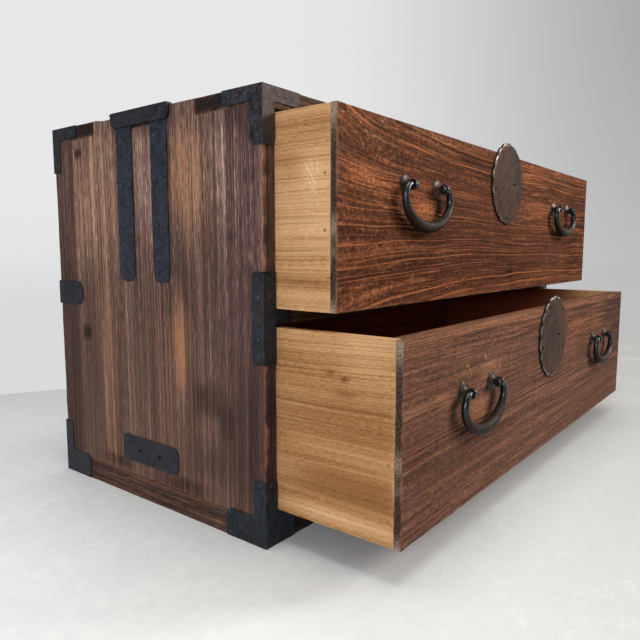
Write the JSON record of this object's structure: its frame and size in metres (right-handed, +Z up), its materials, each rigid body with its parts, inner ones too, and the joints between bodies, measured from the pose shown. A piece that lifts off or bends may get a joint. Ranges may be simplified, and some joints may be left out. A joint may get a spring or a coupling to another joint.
{
  "type": "clothing chest",
  "caption": "Low wide clothing chest with full-width drawers, forged iron corners, round scalloped lock plates, bail handles and lifting pole loops on its sides.",
  "frame": {"origin": "middle of the case's footprint, on the floor", "axes": "+X to the right along the front, +Y to the back, +Z up. The drawers come out towards -Y."},
  "size_m": [0.919, 0.5876, 0.5024],
  "materials": {
    "case_wood": "old dark lacquer worn to the grain, satin",
    "inner_wood": "bare, darkened by age",
    "drawer_front_wood": "red-brown wiped lacquer over open grain, satin",
    "drawer_wood": "bare planed softwood, matte",
    "peg_wood": "bare, end grain",
    "black_iron": "hammered sheet, black oxide, dull",
    "lock_plate_iron": "thin sheet with brown patina, dull",
    "handle_iron": "forged, burnished by hand",
    "lock_iron": "filed sheet, oiled"
  },
  "bodies": {
    "case": {"bottom_front_plank": "case_wood", "bottom_rear_plank": "case_wood", "case_back_lower": "inner_wood", "case_back_upper": "inner_wood", "case_left_side": "case_wood", "case_nails": "black_iron", "case_right_side": "case_wood", "case_top": "case_wood", "clasp_left": "black_iron", "clasp_right": "black_iron", "drawer_runners": "inner_wood", "foot_back_corner_left": "black_iron", "foot_back_corner_right": "black_iron", "foot_front_corner_left": "black_iron", "foot_front_corner_right": "black_iron", "front_sill": "case_wood", "mid_rail": "case_wood", "pierced_plate_left": "black_iron", "pierced_plate_right": "black_iron", "pole_straps_left": "black_iron", "pole_straps_right": "black_iron", "shelf": "inner_wood", "shelf_battens": "inner_wood", "tee_iron_left": "black_iron", "tee_iron_right": "black_iron", "top_back_corner_left": "black_iron", "top_back_corner_right": "black_iron", "top_front_corner_left": "black_iron", "top_front_corner_right": "black_iron"},
    "upper_drawer": {"upper_drawer_front": "drawer_front_wood", "upper_drawer_left_side": "drawer_wood", "upper_drawer_right_side": "drawer_wood", "upper_drawer_back": "drawer_wood", "upper_drawer_bottom": "drawer_wood", "upper_drawer_pegs": "peg_wood", "upper_lock_plate": "lock_plate_iron", "upper_lock_case": "lock_iron", "upper_lock_spring": "lock_iron", "upper_bail_posts": "handle_iron", "upper_bail_rosettes": "handle_iron"},
    "upper_left_bail": {"upper_left_bail": "handle_iron"},
    "upper_right_bail": {"upper_right_bail": "handle_iron"},
    "upper_lock_bolt": {"upper_lock_bolt": "lock_iron"},
    "lower_drawer": {"lower_drawer_front": "drawer_front_wood", "lower_drawer_left_side": "drawer_wood", "lower_drawer_right_side": "drawer_wood", "lower_drawer_back": "drawer_wood", "lower_drawer_bottom": "drawer_wood", "lower_drawer_pegs": "peg_wood", "lower_lock_plate": "lock_plate_iron", "lower_lock_case": "lock_iron", "lower_lock_spring": "lock_iron", "lower_bail_posts": "handle_iron", "lower_bail_rosettes": "handle_iron"},
    "lower_left_bail": {"lower_left_bail": "handle_iron"},
    "lower_right_bail": {"lower_right_bail": "handle_iron"},
    "lower_lock_bolt": {"lower_lock_bolt": "lock_iron"},
    "left_pole_loop": {"pole_loop_left": "black_iron"},
    "right_pole_loop": {"pole_loop_right": "black_iron"}
  },
  "joints": [
    {"name": "upper_drawer_slide", "type": "slide", "parent": "case", "child": "upper_drawer", "axis": [0, -1, 0], "range_m": [-0.0808, 0.2287]},
    {"name": "upper_left_bail_swing", "type": "hinge", "parent": "upper_drawer", "child": "upper_left_bail", "pos_m": [-0.266, -0.2963, 0.4048], "axis": [-1, 0, 0], "range_deg": [-3, 183]},
    {"name": "upper_right_bail_swing", "type": "hinge", "parent": "upper_drawer", "child": "upper_right_bail", "pos_m": [0.266, -0.2963, 0.4048], "axis": [-1, 0, 0], "range_deg": [-3, 183]},
    {"name": "upper_lock_bolt_slide", "type": "slide", "parent": "upper_drawer", "child": "upper_lock_bolt", "axis": [0, 0, 1], "range_m": [0, 0.007]},
    {"name": "lower_drawer_slide", "type": "slide", "parent": "case", "child": "lower_drawer", "axis": [0, -1, 0], "range_m": [-0.1589, 0.1506]},
    {"name": "lower_left_bail_swing", "type": "hinge", "parent": "lower_drawer", "child": "lower_left_bail", "pos_m": [-0.266, -0.3744, 0.17405], "axis": [-1, 0, 0], "range_deg": [-3, 183]},
    {"name": "lower_right_bail_swing", "type": "hinge", "parent": "lower_drawer", "child": "lower_right_bail", "pos_m": [0.266, -0.3744, 0.17405], "axis": [-1, 0, 0], "range_deg": [-3, 183]},
    {"name": "lower_lock_bolt_slide", "type": "slide", "parent": "lower_drawer", "child": "lower_lock_bolt", "axis": [0, 0, 1], "range_m": [0, 0.007]},
    {"name": "left_pole_loop_slide", "type": "slide", "parent": "case", "child": "left_pole_loop", "axis": [0, 0, 1], "range_m": [0, 0.14]},
    {"name": "right_pole_loop_slide", "type": "slide", "parent": "case", "child": "right_pole_loop", "axis": [0, 0, 1], "range_m": [0, 0.14]}
  ]
}
